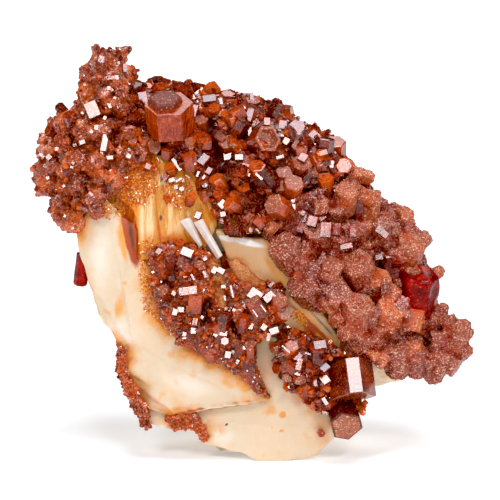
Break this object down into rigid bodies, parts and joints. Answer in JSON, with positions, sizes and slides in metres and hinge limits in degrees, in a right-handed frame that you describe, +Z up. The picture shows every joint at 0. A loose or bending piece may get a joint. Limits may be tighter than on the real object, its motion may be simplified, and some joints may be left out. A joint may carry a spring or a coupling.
{
  "type": "vanadinite on matrix",
  "caption": "Hand-sized mineral specimen: hexagonal vanadinite crystals and druse grown over a group of cream barite blades, standing on its flat foot.",
  "frame": {"origin": "centre of the bounding box in plan, on the surface that the specimen stands on", "axes": "+Z up, +X to the right as seen from the front, +Y away from the front, which carries the blades and crystals"},
  "size_m": [0.0596, 0.0294, 0.0548],
  "materials": {
    "barite_cream": "cleaved, satin",
    "barite_gold": "striated, iron stained",
    "barite_white": "glassy",
    "vanadinite_red": "adamantine gloss",
    "vanadinite_deep": "adamantine gloss",
    "vanadinite_druse": "fine sparkling druse"
  },
  "bodies": {
    "root": {"barite_back_plate": "barite_cream", "barite_front_blade": "barite_cream", "barite_foot_blade": "barite_cream", "barite_middle_blade": "barite_gold", "barite_fibrous_fan": "barite_gold", "barite_lath_long": "barite_white", "barite_lath_short": "barite_white", "vanadinite_upper_crust": "vanadinite_red", "vanadinite_knob": "vanadinite_red", "vanadinite_left_druse": "vanadinite_druse", "vanadinite_right_druse": "vanadinite_druse", "vanadinite_centre_cluster": "vanadinite_red", "vanadinite_lower_cluster": "vanadinite_red", "vanadinite_rim_crust": "vanadinite_red", "vanadinite_notch_crust": "vanadinite_red", "vanadinite_tipped_prism": "vanadinite_red", "vanadinite_glossy_prism": "vanadinite_deep", "vanadinite_end_prism": "vanadinite_deep", "vanadinite_edge_crystal": "vanadinite_deep", "vanadinite_foot_crystal": "vanadinite_red"}
  },
  "joints": []
}
